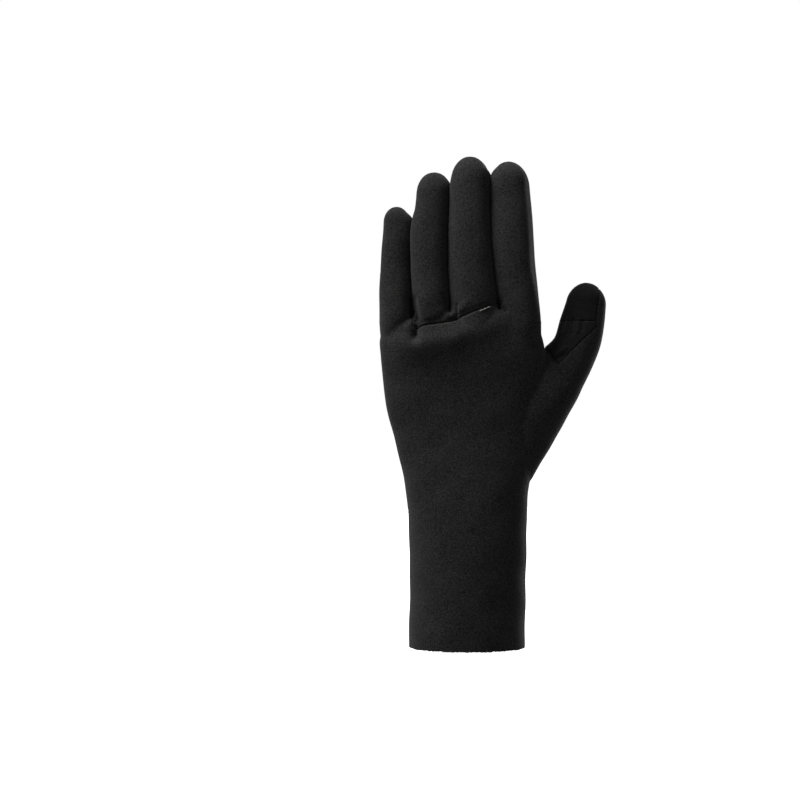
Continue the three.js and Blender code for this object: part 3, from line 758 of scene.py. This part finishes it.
def sewn(name, runs, thick=thread_thick):
    """All the stitches of one seam joined in a mesh, riding on the glove."""
    points, faces = [], []
    for start, end in runs:
        rows = stitch(start, end, thick)
        first = len(points)
        points += [tuple(point) for row in rows for point in row]
        for row in range(len(rows) - 1):
            for side in range(thread_sides):
                a = first + row * thread_sides + side
                b = first + row * thread_sides + (side + 1) % thread_sides
                faces.append((a, a + thread_sides, b + thread_sides, b))
        faces.append([first + side for side in range(thread_sides)])
        faces.append([len(points) - 1 - side for side in range(thread_sides)])
    mesh = bpy.data.meshes.new(name)
    mesh.from_pydata(points, [], faces)
    mesh.materials.append(thread)
    mesh.polygons.foreach_set("use_smooth", [True] * len(faces))
    piece = bpy.data.objects.new(name, mesh)
    bpy.context.scene.collection.objects.link(piece)
    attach(piece, "root")


def running(path, length, gap, aside, lifted=0.0):
    """Stitches in a row along a path, each a little off the line and off its even length."""
    uneven = np.random.default_rng(3)
    run = lengths_along(path)
    runs, at = [], 0.0
    while at + length * shortest_last < run[-1]:
        end = min(at + length * uneven.uniform(*length_spread), run[-1])
        ends = [np.array([np.interp(place, run, column) for column in path.T]) for place in (at, end)]
        forward = (ends[1] - ends[0]) / np.linalg.norm(ends[1] - ends[0])
        out = np.array(normals[skin_tree.find(Vector(ends[0]))[1]])
        slant = np.cross(forward, out) * aside * uneven.uniform(*slant_spread)
        runs.append((ends[0] - slant + out * lifted, ends[1] + slant + out * lifted))
        at = end + gap * uneven.uniform(*gap_spread)
    return runs


def packed(start, end, high, count):
    """A tack on the palm's side: stitches side by side along a short line, laid across it, in mm."""
    uneven = np.random.default_rng(5)
    (x0, z0), (x1, z1) = start, end
    runs = []
    for share in np.linspace(0, 1, count):
        x = x0 + share * (x1 - x0)
        z = z0 + share * (z1 - z0)
        slant = uneven.uniform(-tack_slant, tack_slant)
        reach = high / 2 * uneven.uniform(*tack_spread)
        low, top = (on_skin(x + s * slant, z + s * reach, 1) for s in (-1, 1))
        runs.append((np.array(low), np.array(top)))
    return runs


wrist_seam = along_seam("palm_panel", "cuff_panel", lambda p: p[:, 1] > 0, 0)
sewn("wrist_seam_thread", running(wrist_seam, length=2.6 * MM, gap=0.25 * MM, aside=0.12 * MM))
thumb_side = along_seam("back_panel", "cuff_panel", lambda p: (p[:, 0] > 0) & (p[:, 2] > foot_rise), 2)
sewn("cuff_seam_thread", running(thumb_side, length=2.9 * MM, gap=0.3 * MM, aside=0.12 * MM))
knuckle_places = [(6.9, 194.2), (9.2, 195.1), (11.6, 196.2), (14, 197.3)]
knuckle_line = np.array([on_skin(x, z, -1) for x, z in knuckle_places])
over_knuckles = running(knuckle_line, length=2.3 * MM, gap=0.2 * MM, aside=0.15 * MM, lifted=0.35 * MM)
sewn("knuckle_stitches", over_knuckles, thick=0.85 * MM)
tacks = [
    dict(name="cuff_bar_tack", start=(22.2, 10.2), end=(30.2, 11.6), high=2.0, count=11),
    dict(name="wrist_corner_tack", start=(28.2, 97.6), end=(31, 99.8), high=1.8, count=4),
    dict(name="thumb_crotch_tack", start=(35.4, 155.6), end=(37, 155), high=1.4, count=3),
    dict(name="thumb_tip_tack", start=(73.2, 199.5), end=(73.6, 203), high=0.9, count=4),
]
for tack in tacks:
    sewn(tack["name"], packed(tack["start"], tack["end"], tack["high"], tack["count"]))


# A plain white floor under a white sky, soft light from the left, from behind on the right and onto the
# palm, and the camera at the photograph's angle. The floor is only a backdrop that throws no light back
floor_level, floor_reach, sky_light = -5.4 * MM, 8.0, 0.15
aim = (0, 0, 0.15)


def plain_floor():
    mesh = bpy.data.meshes.new("studio_floor")
    corners = np.array([(-1, -1, 0), (1, -1, 0), (1, 1, 0), (-1, 1, 0)]) * floor_reach
    mesh.from_pydata((corners + (0, 0, floor_level)).tolist(), [], [(0, 1, 2, 3)])
    material = bpy.data.materials.new("studio_paper")
    material.use_nodes = True
    shade = material.node_tree.nodes["Principled BSDF"]
    shade.inputs["Base Color"].default_value = (0.9, 0.9, 0.9, 1)
    shade.inputs["Roughness"].default_value = 1.0
    shade.inputs["Emission Color"].default_value = (1, 1, 1, 1)
    shade.inputs["Emission Strength"].default_value = 1.0
    mesh.materials.append(material)
    floor = bpy.data.objects.new("studio_floor", mesh)
    floor.visible_diffuse = False
    floor.visible_glossy = False
    bpy.context.scene.collection.objects.link(floor)


def soft_light(name, turn, rise, away_from, size, power):
    """A round lamp aimed at the glove, at an angle round from the camera's side and up from level."""
    data = bpy.data.lights.new(name, "AREA")
    data.shape = "DISK"
    data.size = size
    data.energy = power
    lamp = bpy.data.objects.new(name, data)
    turn, rise = math.radians(turn), math.radians(rise)
    level = away_from * math.cos(rise)
    lamp.location = (level * math.sin(turn), -level * math.cos(turn), aim[2] + away_from * math.sin(rise))
    lamp.rotation_euler = (Vector(aim) - Vector(lamp.location)).to_track_quat("-Z", "Y").to_euler()
    bpy.context.scene.collection.objects.link(lamp)


plain_floor()
soft_light("key", turn=-75, rise=56, away_from=1.4, size=0.7, power=18)
soft_light("rim", turn=141, rise=3, away_from=1.35, size=0.5, power=6.5)
soft_light("palm fill", turn=183, rise=8, away_from=1.6, size=1.0, power=9)
scene = bpy.context.scene
scene.view_settings.view_transform = "Standard"
sky = bpy.data.worlds.new("Sky")
scene.world = sky
sky.use_nodes = True
sky_nodes = sky.node_tree.nodes
seen = sky_nodes.new("ShaderNodeLightPath")
level = sky_nodes.new("ShaderNodeMapRange")
level.inputs["To Min"].default_value = sky_light
level.inputs["To Max"].default_value = 1.0
sky.node_tree.links.new(seen.outputs["Is Camera Ray"], level.inputs["Value"])
sky.node_tree.links.new(level.outputs["Result"], sky_nodes["Background"].inputs["Strength"])
sky_nodes["Background"].inputs["Color"].default_value = (1, 1, 1, 1)
camera_data = bpy.data.cameras.new("Camera")
camera_data.sensor_width = 36
camera_data.lens = 93
camera = bpy.data.objects.new("Camera", camera_data)
camera.location = (-0.0389, -1.2, 0.1433)
camera.rotation_euler = (math.radians(90), 0, 0)
scene.collection.objects.link(camera)
scene.camera = camera
